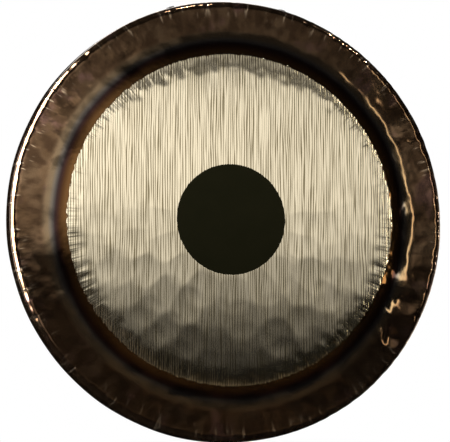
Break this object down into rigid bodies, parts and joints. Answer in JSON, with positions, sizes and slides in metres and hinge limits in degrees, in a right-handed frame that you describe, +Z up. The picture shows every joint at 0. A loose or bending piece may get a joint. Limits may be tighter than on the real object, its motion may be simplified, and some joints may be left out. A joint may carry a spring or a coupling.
{
  "type": "tam tam gong",
  "caption": "Large flat hammered gong with a bright scraped face, dark centre disc, dark stepped-back rim and turned-back edge with lined hanging holes.",
  "frame": {"origin": "centre of the gong's bounding box: on its axis, halfway between the middle of the face and the rear edge", "axes": "+Z up as it hangs, -Y the struck face, +Y along the gong's axis to the back, +X to the right as seen from the front"},
  "size_m": [0.8128, 0.066, 0.8128],
  "materials": {
    "gong_metal": "hammered sheet of a silvery copper alloy: dark heat-blackened oxide on the rim, edge, back and centre disc, a ring of heat colours, and a bright face scraped in fine upright strokes",
    "grommet_rubber": "matt black rubber"
  },
  "bodies": {
    "root": {"gong_plate": "gong_metal", "left_grommet": "grommet_rubber", "right_grommet": "grommet_rubber"}
  },
  "joints": []
}
